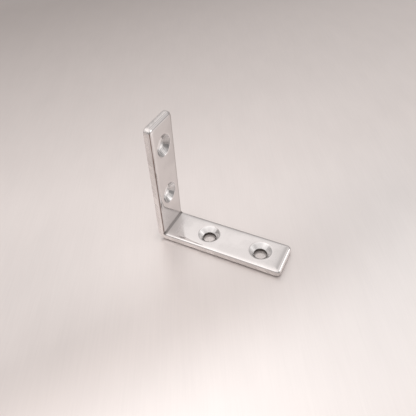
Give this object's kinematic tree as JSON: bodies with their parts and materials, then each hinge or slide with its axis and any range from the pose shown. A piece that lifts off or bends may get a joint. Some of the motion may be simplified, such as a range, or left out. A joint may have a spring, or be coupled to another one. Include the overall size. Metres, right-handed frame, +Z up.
{
  "type": "narrow angle bracket",
  "caption": "Narrow right-angle bracket bent from steel strip, with equal legs, countersunk screw holes, rolled edges and rounded ends.",
  "frame": {"origin": "middle of the bracket's footprint, on the surface that the lying leg rests on", "axes": "+X along the lying leg to its free end, +Y across the strip, +Z up the standing leg"},
  "size_m": [0.04, 0.0116, 0.04],
  "materials": {
    "bright_plating": "bright nickel-like plating on steel, polished, slightly softened by barrel finishing"
  },
  "bodies": {
    "root": {"angle_bracket": "bright_plating"}
  },
  "joints": []
}
